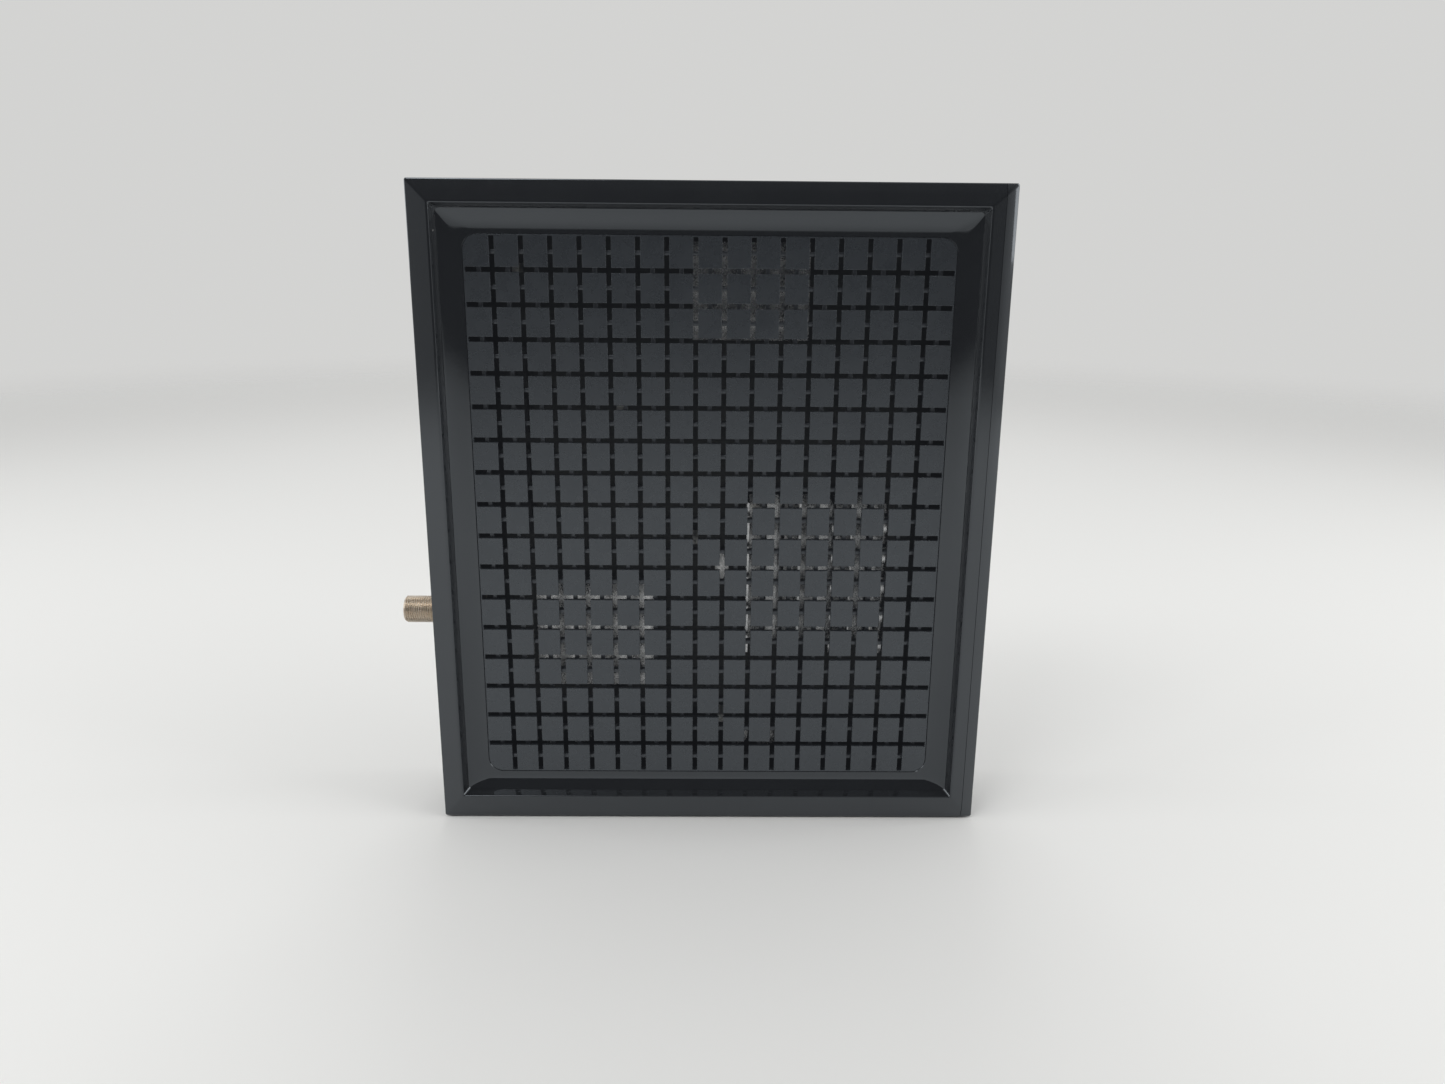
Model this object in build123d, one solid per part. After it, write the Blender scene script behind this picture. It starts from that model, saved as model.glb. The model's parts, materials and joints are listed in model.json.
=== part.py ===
from build123d import *
import os

# A coax-fed network box that stands upright on its narrow base. X runs from the connector end (-X) to
# the lamp end (+X), Y runs from the front grille (-Y) to the rear grille (+Y), and Z is up. The origin
# is on the surface that the box stands on, under the middle of the case. Sizes are in millimetres.

# Tile field of each grille
tiles_across = 17
tiles_up = 17
tile_pitch_x = 9.1
tile_pitch_z = 10.8
slot_width = 1.65
bridge_width = 1.4
slot_end_land = 0.5
field_corner = 4.0

# Frame round the field
margin_connector_end = 16.0
margin_lamp_end = 17.3
margin_top = 16.2
margin_bottom = 16.2
ridge_margin_side = 7.6
ridge_margin_end = 8.6
ridge_land = 0.5
case_corner = 1.2
step_corner = 2.0
inner_corner = 1.0

# Depths of the frame and shells
case_depth = 40.0
bevel_drop = 2.2
tray_depth = 5.0
step_depth = 2.4
step_run = 1.8
wall = 2.0
lip_thickness = 2.0
rim_pocket_depth = 3.0
rim_pocket_land = 1.0

# Grille inserts
grille_fit = 0.1
flange_width = 2.0
flange_thickness = 1.4

# End fascia
fascia_width = 4.0
fascia_face = 2.0
fascia_inset = 3.0
clip_thickness = 1.6
clip_reach = 3.4
clip_barb = 0.7
clip_width = 8.0
clip_fit = 0.2
clip_low_up = 30.0
clip_from_top = 14.0

# Feet and label
foot_length = 30.0
foot_width = 14.0
foot_thickness = 1.6
foot_proud = 0.6
foot_end_inset = 22.0
foot_fit = 0.1
foot_corner = 2.0
label_end_gap = 2.0
label_width = 18.0
label_thickness = 0.15

# Main board and its screws
board_thickness = 1.6
board_gap = 1.0
board_edge_gap = 0.5
board_lamp_gap = 1.5
board_corner = 2.0
boss_radius = 2.8
boss_flange_gap = 0.6
board_screw_radius = 1.2
board_screw_head = 2.4
board_screw_head_height = 1.6
board_screw_bite = 5.0
board_screw_inset = 8.0
screw_fit = 0.1

# Case screws
case_boss_radius = 3.6
case_screw_radius = 1.4
case_screw_head = 2.9
case_screw_head_height = 2.0
case_screw_recess = 4.0
case_screw_bite = 14.0
case_screw_head_fit = 0.3
case_boss_land = 0.4
case_boss_gap = 0.9
cut_over = 1.0

# Coaxial socket: a 3/8-32 threaded barrel
coax_thread_radius = 4.7625
coax_relief_radius = 4.4
coax_free_thread = 10.2
coax_tip_chamfer = 0.6
coax_bore_radius = 3.2
coax_bore_lip = 0.8
coax_axis_height = 8.0
coax_axis_up = 71.2
coax_block_length = 11.0
coax_block_width = 13.0
coax_block_top = 6.5
coax_hole_fit = 0.2
thread_end_gap = 0.2
washer_thickness = 0.8
washer_radius = 7.0
nut_thickness = 2.2
nut_across_flats = 11.1
insulator_length = 9.0
contact_radius = 0.85
contact_bore = 0.5
contact_set_back = 0.6
contact_air_gap = 1.0
part_fit = 0.05

# Network sockets
socket_count = 4
socket_first_up = 105.0
socket_pitch = 17.5
socket_width = 16.0
socket_height = 13.4
socket_depth = 16.0
socket_set_back = 0.3
socket_hole_width = 11.8
socket_hole_height = 7.6
socket_hole_depth = 12.5
socket_roof = 1.6
latch_width = 6.0
latch_height = 2.4
contact_pitch = 1.02
contact_count = 8
contact_wire = 0.22
contact_start = 3.0
transformer_gap = 3.0
transformer = (12.0, 12.0, 5.0)
panel_fit = 0.3

# Power jack
jack_up = 33.0
jack_width = 9.0
jack_height = 11.0
jack_depth = 14.0
jack_bore_radius = 3.15
jack_bore_depth = 9.5
jack_pin_radius = 1.05
jack_pin_set_back = 1.0
jack_axis_height = 6.5

# Reset button and switch
reset_up = 51.0
reset_hole_radius = 1.1
reset_plunger_radius = 0.9
reset_plunger_length = 3.6
reset_travel = 0.4
reset_set_back = 0.6
reset_switch_size = 6.0
reset_axis_height = 4.0
reset_engagement = 1.5
reset_end_gap = 0.2

# Standby button and switch
button_up = 140.0
button_radius = 6.0
button_flange = 1.2
button_flange_thickness = 1.0
button_set_back = 0.3
button_travel = 0.8
button_fit = 0.2
button_stem_radius = 2.0
button_stem_reach = 3.6
button_edge = 0.5
switch_length = 5.5
switch_width = 7.0
switch_nub_length = 1.0
switch_nub_radius = 1.5

# Status lamps and light pipe
lamp_count = 5
lamp_first_up = 160.0
lamp_pitch = 8.0
window_height = 2.0
window_width = 5.0
window_set_back = 0.1
pipe_wall_fit = 0.2
pipe_thickness = 4.0
pipe_board_gap = 0.2
lamp_size = 2.0
lamp_gap = 0.4

# Shield cans, chips and heat sink
tuner_can = (42.0, 40.0, 6.5)
tuner_can_from_end = 32.0
tuner_can_up = 62.0
radio_can = (39.0, 32.0, 4.5)
radio_can_from_top = 34.0
radio_can_across = 13.0
can_skin = 0.3
processor_size = 25.0
processor_height = 1.5
pad_thickness = 0.5
pad_margin = 1.0
sink_width = 48.0
sink_height = 54.0
sink_base = 2.5
sink_fins = 9
fin_thickness = 1.2
sink_grille_gap = 3.0
sink_across = 36.0
sink_up = 86.0
pin_radius = 1.3
pin_head_radius = 2.2
pin_head_height = 1.0
pin_clinch_radius = 1.8
pin_clinch_height = 0.6
pin_boss_land = 0.5
pin_inset = 4.0

# Small parts on the board: each size is across, up and off the board
memory_chip = (14.0, 9.0, 1.2)
memory_spread = 12.0
memory_gap = 10.0
flash_size = (12.0, 18.0, 1.2)
flash_shift = 4.0
flash_gap = 12.0
regulator = (6.0, 6.0, 1.0)
regulator_up = 36.0
regulator_across = (-34.0, -14.0, 46.0)
inductor = (10.0, 10.0, 4.5)
inductor_across = (-24.0, -4.0, 56.0)
supply_up = 24.0
capacitor_radius = 4.0
capacitor_height = 10.0
capacitor_from_end = 36.0
capacitor_pitch = 11.0
capacitor_across = 10.0
crystal = (4.8, 11.0, 3.5)
crystal_corner = 2.2
crystal_gap = 8.0

# Derived frame sizes
field_width = tiles_across * tile_pitch_x
field_height = tiles_up * tile_pitch_z
case_width = field_width + margin_connector_end + margin_lamp_end
case_height = field_height + margin_top + margin_bottom
case_left = -case_width / 2
case_right = case_width / 2
case_bottom = foot_proud
case_top = case_bottom + case_height
field_left = case_left + margin_connector_end
field_right = field_left + field_width
field_bottom = case_bottom + margin_bottom
field_top = field_bottom + field_height
half_depth = case_depth / 2
rim_depth = half_depth - bevel_drop
tile_depth = half_depth - tray_depth
lip_depth = tile_depth - lip_thickness
flange_depth = lip_depth - flange_thickness
shell_right = case_right - fascia_width
inner_left = case_left + wall
inner_right = shell_right - wall
inner_bottom = case_bottom + wall
inner_top = case_top - wall

# Derived board place: its back faces the rear grille
board_back = flange_depth - board_gap
board_front = board_back - board_thickness
board_left = inner_left + board_edge_gap
board_right = inner_right - board_lamp_gap
case_boss_inset = wall + case_boss_radius + case_boss_land
board_bottom = case_bottom + case_boss_inset + case_boss_radius + case_boss_gap
board_top = case_top - case_boss_inset - case_boss_radius - case_boss_gap
seam_depth = board_front

# Derived places of the connectors
coax_up = case_bottom + coax_axis_up
coax_y = board_front - coax_axis_height
nut_outer = case_left - washer_thickness - nut_thickness
coax_tip = nut_outer - thread_end_gap - coax_free_thread - coax_tip_chamfer
jack_y = board_front - jack_axis_height
reset_y = board_front - reset_axis_height
socket_mouth = case_left + socket_set_back


def front_plane(y):
    """A drawing plane at depth y that faces -Y, with its own X along X and its own Y along Z."""
    return Plane(origin=(0, y, 0), x_dir=(1, 0, 0), z_dir=(0, -1, 0))


def outline(left, right, bottom, top, radius):
    """A rounded rectangle drawn in X and Z."""
    middle = Pos((left + right) / 2, (bottom + top) / 2)
    return middle * RectangleRounded(right - left, top - bottom, radius)


def slab(shape, y_low, y_high):
    """A drawn outline made solid between two depths."""
    return extrude(front_plane(y_high) * shape, amount=y_high - y_low)


def taper(shape_low, y_low, shape_high, y_high):
    """A solid that changes evenly from one outline to another between two depths."""
    return loft([front_plane(y_low) * shape_low, front_plane(y_high) * shape_high])


def block(x0, x1, y0, y1, z0, z1):
    """A box between two corners."""
    middle = Pos((x0 + x1) / 2, (y0 + y1) / 2, (z0 + z1) / 2)
    return middle * Box(x1 - x0, y1 - y0, z1 - z0)


def rod_x(x0, x1, y, z, radius):
    """A round bar along X."""
    return Pos((x0 + x1) / 2, y, z) * Rot(0, 90, 0) * Cylinder(radius, x1 - x0)


def rod_y(y0, y1, x, z, radius):
    """A round bar along Y."""
    return Pos(x, (y0 + y1) / 2, z) * Rot(90, 0, 0) * Cylinder(radius, y1 - y0)


def field_outline(grow, radius):
    """The tile field's outline, grown on all sides."""
    return outline(field_left - grow, field_right + grow, field_bottom - grow, field_top + grow, radius)


def ridge_outline(grow, radius):
    """The outline of the frame's foremost line, grown on all sides."""
    side = ridge_margin_side + grow
    end = ridge_margin_end + grow
    return outline(field_left - side, field_right + side, field_bottom - end, field_top + end, radius)


def case_screw_places():
    """The four corners where screws join the shells."""
    xs = (case_left + case_boss_inset, shell_right - case_boss_inset)
    zs = (case_bottom + case_boss_inset, case_top - case_boss_inset)
    return [(x, z) for x in xs for z in zs]


def board_screw_places():
    """The four board screws, beside the grille's flange."""
    beside = flange_width + boss_radius + boss_flange_gap
    xs = (field_left - beside, field_right + beside)
    zs = (board_bottom + board_screw_inset, board_top - board_screw_inset)
    return [(x, z) for x in xs for z in zs]


def case_solid():
    """The outside of the whole case, with its frame bevels on both large faces."""
    rim = outline(case_left, case_right, case_bottom, case_top, case_corner)
    ridge = ridge_outline(ridge_land, case_corner)
    front = taper(ridge, -half_depth, rim, -rim_depth)
    rear = taper(rim, rim_depth, ridge, half_depth)
    return slab(rim, -rim_depth, rim_depth) + front + rear


def tray_cut():
    """The space inside the front frame: a steep step, a gentle slope and the grille's opening."""
    step_y = -half_depth + step_depth
    steep = taper(ridge_outline(0, case_corner), -half_depth, ridge_outline(-step_run, step_corner), step_y)
    gentle = taper(ridge_outline(-step_run, step_corner), step_y,
                   field_outline(0, field_corner), -tile_depth)
    opening = slab(field_outline(0, field_corner), -tile_depth, -lip_depth)
    return steep + gentle + opening


def rim_pocket():
    """The pocket behind the front frame that keeps its wall thin."""
    land = rim_pocket_land
    side = ridge_margin_side + land
    end = ridge_margin_end + land
    outer = outline(inner_left, inner_right, inner_bottom, inner_top, inner_corner)
    inner = outline(field_left - side, field_right + side, field_bottom - end, field_top + end, inner_corner)
    return slab(outer - inner, -lip_depth - rim_pocket_depth, -lip_depth)


def inner_space(y_low, y_high):
    """The room inside the shells between two depths."""
    return slab(outline(inner_left, inner_right, inner_bottom, inner_top, inner_corner), y_low, y_high)


def clip_places():
    """Heights of the fascia's two clips."""
    return (case_bottom + clip_low_up, case_top - clip_from_top)


def clip_slots():
    """The slots in the shell's lamp end that take the fascia's clips."""
    slots = []
    for up in clip_places():
        low = up - clip_fit
        high = up + clip_thickness + clip_fit
        side = clip_width / 2 + clip_fit
        slots.append(block(inner_right - cut_over, shell_right + cut_over, -side, side, low, high))
    return slots


def pipe_range():
    """Lowest and highest point of the light pipe's bar."""
    low = case_bottom + lamp_first_up - lamp_pitch / 2
    return low, low + lamp_count * lamp_pitch


def connector_holes():
    """The holes in the connector end for its sockets, jack, barrel and reset plunger."""
    x0 = case_left - cut_over
    x1 = inner_left + cut_over
    holes = [rod_x(x0, x1, coax_y, coax_up, coax_thread_radius + coax_hole_fit)]
    holes.append(rod_x(x0, x1, reset_y, case_bottom + reset_up, reset_hole_radius))
    jack_half = jack_width / 2 + panel_fit
    jack_low = board_front - jack_height - panel_fit
    jack_middle = case_bottom + jack_up
    holes.append(block(x0, x1, jack_low, board_front, jack_middle - jack_half, jack_middle + jack_half))
    for number in range(socket_count):
        middle = socket_middle(number)
        half = socket_width / 2 + panel_fit
        low = board_front - socket_height - panel_fit
        holes.append(block(x0, x1, low, board_front, middle - half, middle + half))
    return holes


def lamp_end_holes():
    """The holes in the shell's lamp end for the light pipe and the standby button's stem."""
    low, high = pipe_range()
    fit = pipe_wall_fit
    x0 = inner_right - cut_over
    x1 = shell_right + cut_over
    pipe = block(x0, x1, -pipe_thickness / 2 - fit, board_front, low - fit, high + fit)
    stem = rod_x(x0, x1, 0, case_bottom + button_up, button_stem_radius + button_fit)
    return [pipe, stem]


def foot_places():
    """The feet's middles along the base: one near each end of the shells and one under the origin."""
    return (case_left + foot_end_inset, 0.0, shell_right - foot_end_inset)


def foot_pockets():
    """The pockets under the base that take the rubber feet."""
    pockets = []
    for middle in foot_places():
        half = foot_length / 2 + foot_fit
        side = foot_width / 2 + foot_fit
        top = case_bottom + foot_thickness - foot_proud
        pockets.append(block(middle - half, middle + half, -side, side, case_bottom - cut_over, top))
    return pockets


def front_cover():
    """The front shell: frame, walls and the bosses that the case screws bite into."""
    shell = case_solid() & block(case_left, shell_right, -half_depth, seam_depth, 0, case_top)
    shell -= tray_cut()
    shell -= rim_pocket()
    shell -= inner_space(-lip_depth, seam_depth)
    for x, z in case_screw_places():
        shell += rod_y(-lip_depth - rim_pocket_depth, seam_depth, x, z, case_boss_radius)
        shell -= rod_y(seam_depth - case_screw_bite - cut_over, seam_depth, x, z,
                       case_screw_radius + screw_fit)
    for cut in connector_holes() + lamp_end_holes() + clip_slots() + foot_pockets():
        shell -= cut
    return shell


def rear_cover():
    """The rear shell, with the board's bosses and the case screws' recesses."""
    shell = case_solid() & block(case_left, shell_right, seam_depth, half_depth, 0, case_top)
    shell -= mirror(tray_cut(), Plane.XZ)
    shell -= mirror(rim_pocket(), Plane.XZ)
    shell -= inner_space(seam_depth, lip_depth)
    floor = lip_depth + rim_pocket_depth
    for x, z in board_screw_places():
        shell += rod_y(board_back, floor, x, z, boss_radius)
        shell -= rod_y(board_back, floor, x, z, board_screw_radius + screw_fit)
    for cut in foot_pockets():
        shell -= cut
    for x, z in case_screw_places():
        shell += rod_y(seam_depth, floor, x, z, case_boss_radius)
        shell -= rod_y(seam_depth, half_depth, x, z, case_screw_radius + screw_fit)
        recess = case_screw_head + case_screw_head_fit
        shell -= rod_y(half_depth - case_screw_recess, half_depth, x, z, recess)
    return shell


def plus_hole(x, z):
    """The opening round one slot crossing, which ends at the bridges between the tiles."""
    arm_x = (tile_pitch_x - bridge_width) / 2
    arm_z = (tile_pitch_z - bridge_width) / 2
    half = slot_width / 2
    corner = [(half, arm_z), (half, half), (arm_x, half)]
    points = [(x + u, 0, z + w) for u, w in corner]
    points += [(x + u, 0, z - w) for u, w in reversed(corner)]
    points += [(x - u, 0, z - w) for u, w in corner]
    points += [(x - u, 0, z + w) for u, w in reversed(corner)]
    return Wire.make_polygon(points, close=True)


def slot_hole(x0, x1, z0, z1):
    """A short straight opening between an outer tile's bridge and the field's edge."""
    return Wire.make_polygon([(x0, 0, z0), (x1, 0, z0), (x1, 0, z1), (x0, 0, z1)], close=True)


def grille_holes():
    """All the openings of one grille."""
    half = slot_width / 2
    reach_x = (tile_pitch_x - bridge_width) / 2
    reach_z = (tile_pitch_z - bridge_width) / 2
    xs = [field_left + number * tile_pitch_x for number in range(1, tiles_across)]
    zs = [field_bottom + number * tile_pitch_z for number in range(1, tiles_up)]
    holes = [plus_hole(x, z) for x in xs for z in zs]
    for z in zs:
        for edge, way in ((field_left, 1), (field_right, -1)):
            ends = sorted((edge + way * slot_end_land, edge + way * reach_x))
            holes.append(slot_hole(ends[0], ends[1], z - half, z + half))
    for x in xs:
        for edge, way in ((field_bottom, 1), (field_top, -1)):
            ends = sorted((edge + way * slot_end_land, edge + way * reach_z))
            holes.append(slot_hole(x - half, x + half, ends[0], ends[1]))
    return holes


def grille():
    """The front insert: tiles joined by bridges, in the opening, with a flange behind the lip."""
    edge = front_plane(0) * field_outline(-grille_fit, field_corner - grille_fit)
    pierced = Face(edge.face().outer_wire(), grille_holes())
    plate = extrude(Pos(0, -flange_depth, 0) * pierced, amount=tile_depth - flange_depth, dir=(0, -1, 0))
    ring = field_outline(flange_width, field_corner) - field_outline(-grille_fit, field_corner - grille_fit)
    return plate + slab(ring, -lip_depth, -flange_depth)


def end_fascia():
    """The glossy strip over the lamp end, hollow behind its face, with windows and two clips."""
    strip = case_solid() & block(shell_right, case_right, -half_depth, half_depth, 0, case_top)
    side = rim_depth - fascia_inset
    pocket_right = case_right - fascia_face
    low = case_bottom + fascia_inset
    high = case_top - fascia_inset
    strip -= block(shell_right, pocket_right, -side, side, low, high)
    for number in range(lamp_count):
        up = case_bottom + lamp_first_up + number * lamp_pitch
        tall = window_height / 2
        wide = window_width / 2
        strip -= block(pocket_right, case_right, -wide, wide, up - tall, up + tall)
    strip -= rod_x(pocket_right, case_right, 0, case_bottom + button_up, button_radius + button_fit)
    for up in clip_places():
        strip += block(shell_right - clip_reach, case_right - fascia_face, -clip_width / 2, clip_width / 2,
                       up, up + clip_thickness)
        strip += block(shell_right - clip_reach, inner_right - clip_fit, -clip_width / 2, clip_width / 2,
                       up + clip_thickness, up + clip_thickness + clip_barb)
    return strip


def light_pipe():
    """A clear bar behind the fascia, with a tooth in each window."""
    low, high = pipe_range()
    face_back = case_right - fascia_face
    bar = block(board_right + lamp_gap, face_back, -pipe_thickness / 2, board_front - pipe_board_gap,
                low, high)
    for number in range(lamp_count):
        up = case_bottom + lamp_first_up + number * lamp_pitch
        tall = window_height / 2 - part_fit
        wide = min(window_width, pipe_thickness) / 2 - part_fit
        bar += block(face_back, case_right - window_set_back, -wide, wide, up - tall, up + tall)
    return bar


def status_lamps():
    """One lamp for each window, on the board's edge."""
    lamps = []
    for number in range(lamp_count):
        up = case_bottom + lamp_first_up + number * lamp_pitch
        half = lamp_size / 2
        lamps.append(block(board_right - lamp_size, board_right, board_front - lamp_size, board_front,
                           up - half, up + half))
    return Compound(lamps)


def standby_button():
    """A round push button with a retaining flange and a stem that reaches its switch."""
    z = case_bottom + button_up
    face = case_right - button_set_back
    flange_top = case_right - fascia_face - part_fit
    flange_bottom = flange_top - button_flange_thickness
    cap = rod_x(flange_bottom, face, 0, z, button_radius)
    cap = fillet(cap.edges().sort_by(Axis.X)[-1], button_edge)
    cap += rod_x(flange_bottom, flange_top, 0, z, button_radius + button_flange)
    cap += rod_x(inner_right - button_stem_reach, flange_bottom, 0, z, button_stem_radius)
    return cap


def standby_switch():
    """The side-acting switch that the standby button presses."""
    z = case_bottom + button_up
    face = inner_right - button_stem_reach - button_travel - part_fit
    half = switch_width / 2
    body_face = face - switch_nub_length
    body = block(face - switch_length, body_face, -half, board_front, z - half, z + half)
    return body + rod_x(body_face, face, 0, z, switch_nub_radius)


def reset_face():
    """The outer face of the reset switch."""
    return inner_left + reset_set_back + reset_plunger_length - reset_engagement


def reset_button():
    """The plunger behind the pinhole."""
    start = inner_left + reset_set_back
    return rod_x(start, start + reset_plunger_length, reset_y, case_bottom + reset_up, reset_plunger_radius)


def reset_switch():
    """The switch body that guides the reset plunger."""
    z = case_bottom + reset_up
    half = reset_switch_size / 2
    face = reset_face()
    body = block(face, face + reset_switch_size, reset_y - half, board_front, z - half, z + half)
    depth = reset_engagement + reset_travel + reset_end_gap
    return body - rod_x(face, face + depth, reset_y, z, reset_plunger_radius + part_fit)


def coax_barrel():
    """The threaded socket and the block that stands on the board; the thread is its plain outside."""
    relief_start = nut_outer - thread_end_gap
    barrel = rod_x(coax_tip, relief_start, coax_y, coax_up, coax_thread_radius)
    barrel = chamfer(barrel.edges().sort_by(Axis.X)[0], coax_tip_chamfer)
    inner_end = inner_left + coax_block_length
    barrel += rod_x(relief_start, inner_left + part_fit, coax_y, coax_up, coax_relief_radius)
    half = coax_block_width / 2
    barrel += block(inner_left + part_fit, inner_end, coax_y - coax_block_top, board_front,
                    coax_up - half, coax_up + half)
    bore_end = coax_tip + coax_bore_lip + insulator_length
    barrel -= rod_x(coax_tip, bore_end, coax_y, coax_up, coax_bore_radius)
    return barrel - rod_x(bore_end, inner_end, coax_y, coax_up, contact_radius + contact_air_gap)


def coax_insulator():
    """The insulating plug in the socket's mouth."""
    start = coax_tip + coax_bore_lip
    plug = rod_x(start, start + insulator_length, coax_y, coax_up, coax_bore_radius - part_fit)
    return plug - rod_x(start, start + insulator_length, coax_y, coax_up, contact_radius + part_fit)


def coax_contact():
    """The sprung tube that takes the cable's centre wire."""
    start = coax_tip + coax_bore_lip + contact_set_back
    tube = rod_x(start, inner_left + coax_block_length, coax_y, coax_up, contact_radius)
    return tube - rod_x(start, start + insulator_length, coax_y, coax_up, contact_bore)


def coax_washer():
    """The shakeproof washer under the nut."""
    face = case_left - washer_thickness
    ring = rod_x(face, case_left, coax_y, coax_up, washer_radius)
    return ring - rod_x(face, case_left, coax_y, coax_up, coax_relief_radius + part_fit)


def coax_nut():
    """The hexagonal nut that holds the socket to the case."""
    side = Plane(origin=(nut_outer, coax_y, coax_up), x_dir=(0, 1, 0), z_dir=(1, 0, 0))
    hexagon = side * RegularPolygon(nut_across_flats / 2, 6, major_radius=False)
    nut = extrude(hexagon, amount=nut_thickness)
    hole = rod_x(nut_outer, case_left, coax_y, coax_up, coax_relief_radius + part_fit)
    return nut - hole


def socket_middle(number):
    """Height of a network socket's middle."""
    return case_bottom + socket_first_up + number * socket_pitch


def network_socket(number):
    """One network socket: a housing with a plug cavity and a latch slot under it."""
    z = socket_middle(number)
    top = board_front - socket_height
    half = socket_width / 2
    housing = block(socket_mouth, socket_mouth + socket_depth, top, board_front, z - half, z + half)
    roof = top + socket_roof
    hole = socket_hole_width / 2
    deep = socket_mouth + socket_hole_depth
    housing -= block(socket_mouth, deep, roof, roof + socket_hole_height, z - hole, z + hole)
    latch = latch_width / 2
    floor = roof + socket_hole_height
    return housing - block(socket_mouth, deep, floor, floor + latch_height, z - latch, z + latch)


def network_contacts():
    """The sprung wires at the roof of every network socket."""
    wires = []
    roof = board_front - socket_height + socket_roof
    for number in range(socket_count):
        for place in range(contact_count):
            z = socket_middle(number) + (place - (contact_count - 1) / 2) * contact_pitch
            start = socket_mouth + contact_start
            wires.append(block(start, socket_mouth + socket_hole_depth, roof, roof + 2 * contact_wire,
                               z - contact_wire, z + contact_wire))
    return Compound(wires)


def line_transformers():
    """The isolating transformer behind each network socket."""
    x = socket_mouth + socket_depth + transformer_gap + transformer[0] / 2
    return packages([(x, socket_middle(number)) for number in range(socket_count)], transformer)


def power_jack():
    """The round power jack's housing."""
    z = case_bottom + jack_up
    half = jack_width / 2
    housing = block(socket_mouth, socket_mouth + jack_depth, board_front - jack_height, board_front,
                    z - half, z + half)
    return housing - rod_x(socket_mouth, socket_mouth + jack_bore_depth, jack_y, z, jack_bore_radius)


def power_jack_pin():
    """The jack's centre pin."""
    z = case_bottom + jack_up
    start = socket_mouth + jack_pin_set_back
    return rod_x(start, socket_mouth + jack_bore_depth, jack_y, z, jack_pin_radius)


def sink_pin_places():
    """The two corners where pins hold the heat sink to the board."""
    side = sink_width / 2 - pin_inset
    end = sink_height / 2 - pin_inset
    up = case_bottom + sink_up
    return [(sink_across - side, up + end), (sink_across + side, up - end)]


def main_board():
    """The printed board that carries everything inside."""
    shape = outline(board_left, board_right, board_bottom, board_top, board_corner)
    board = slab(shape, board_front, board_back)
    for x, z in board_screw_places():
        board -= rod_y(board_front, board_back, x, z, board_screw_radius + screw_fit)
    for x, z in sink_pin_places():
        board -= rod_y(board_front, board_back, x, z, pin_radius + screw_fit)
    return board


def package(x, z, size):
    """A plain block on the board, given its width, height and depth."""
    width, height, depth = size
    side = width / 2
    end = height / 2
    return block(x - side, x + side, board_front - depth, board_front, z - end, z + end)


def packages(places, size):
    """The same block at several places on the board."""
    return Compound([package(x, z, size) for x, z in places])


def shield_can(x, z, size):
    """A folded metal can, open to the board."""
    inside = (size[0] - 2 * can_skin, size[1] - 2 * can_skin, size[2] - can_skin)
    return package(x, z, size) - package(x, z, inside)


def tuner_shield_can():
    """The can over the tuner, beside the coaxial socket."""
    x = case_left + tuner_can_from_end + tuner_can[0] / 2
    return shield_can(x, case_bottom + tuner_can_up, tuner_can)


def radio_shield_can():
    """The can over the wireless circuits, near the top."""
    return shield_can(radio_can_across, case_top - radio_can_from_top, radio_can)


def processor_chip():
    """The main processor, under the heat sink."""
    return package(sink_across, case_bottom + sink_up, (processor_size, processor_size, processor_height))


def thermal_pad():
    """The soft pad between the processor and the heat sink."""
    half = processor_size / 2 - pad_margin
    z = case_bottom + sink_up
    high = board_front - processor_height
    return block(sink_across - half, sink_across + half, high - pad_thickness, high, z - half, z + half)


def sink_back():
    """The heat sink's face on the thermal pad."""
    return board_front - processor_height - pad_thickness


def heat_sink():
    """The finned aluminium heat sink, its fins upright."""
    up = case_bottom + sink_up
    left = sink_across - sink_width / 2
    right = sink_across + sink_width / 2
    low = up - sink_height / 2
    high = up + sink_height / 2
    back = sink_back()
    tip = -flange_depth + sink_grille_gap
    sink = block(left, right, back - sink_base, back, low, high)
    pitch = (sink_width - fin_thickness) / (sink_fins - 1)
    for number in range(sink_fins):
        x = left + number * pitch
        sink += block(x, x + fin_thickness, tip, back - sink_base, low, high)
    for x, z in sink_pin_places():
        sink -= rod_y(tip, back, x, z, pin_head_radius + screw_fit)
        sink += rod_y(back - sink_base, back, x, z, pin_head_radius + screw_fit + pin_boss_land)
        sink -= rod_y(back - sink_base, back, x, z, pin_radius + screw_fit)
    return sink


def heat_sink_pins():
    """The two pins that hold the heat sink down, headed at both ends."""
    pins = []
    top = sink_back() - sink_base
    for x, z in sink_pin_places():
        pin = rod_y(top, board_back, x, z, pin_radius)
        pin += rod_y(top - pin_head_height, top, x, z, pin_head_radius)
        pin += rod_y(board_back, board_back + pin_clinch_height, x, z, pin_clinch_radius)
        pins.append(pin)
    return Compound(pins)


def memory_chips():
    """The two memory chips above the processor."""
    up = case_bottom + sink_up + sink_height / 2 + memory_gap
    return packages([(sink_across + way * memory_spread, up) for way in (-1, 1)], memory_chip)


def flash_chip():
    """The flash chip below the processor."""
    up = case_bottom + sink_up - sink_height / 2 - flash_gap
    return package(sink_across - flash_shift, up, flash_size)


def regulator_chips():
    """The supply regulators near the base."""
    return packages([(x, case_bottom + regulator_up) for x in regulator_across], regulator)


def power_inductors():
    """The regulators' inductors."""
    return packages([(x, case_bottom + supply_up) for x in inductor_across], inductor)


def filter_capacitors():
    """The upright capacitors: two near the power jack and two among the inductors."""
    first = case_left + capacitor_from_end
    xs = (first, first + capacitor_pitch, capacitor_across, capacitor_across + capacitor_pitch)
    tip = board_front - capacitor_height
    return Compound([rod_y(tip, board_front, x, case_bottom + supply_up, capacitor_radius) for x in xs])


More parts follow.
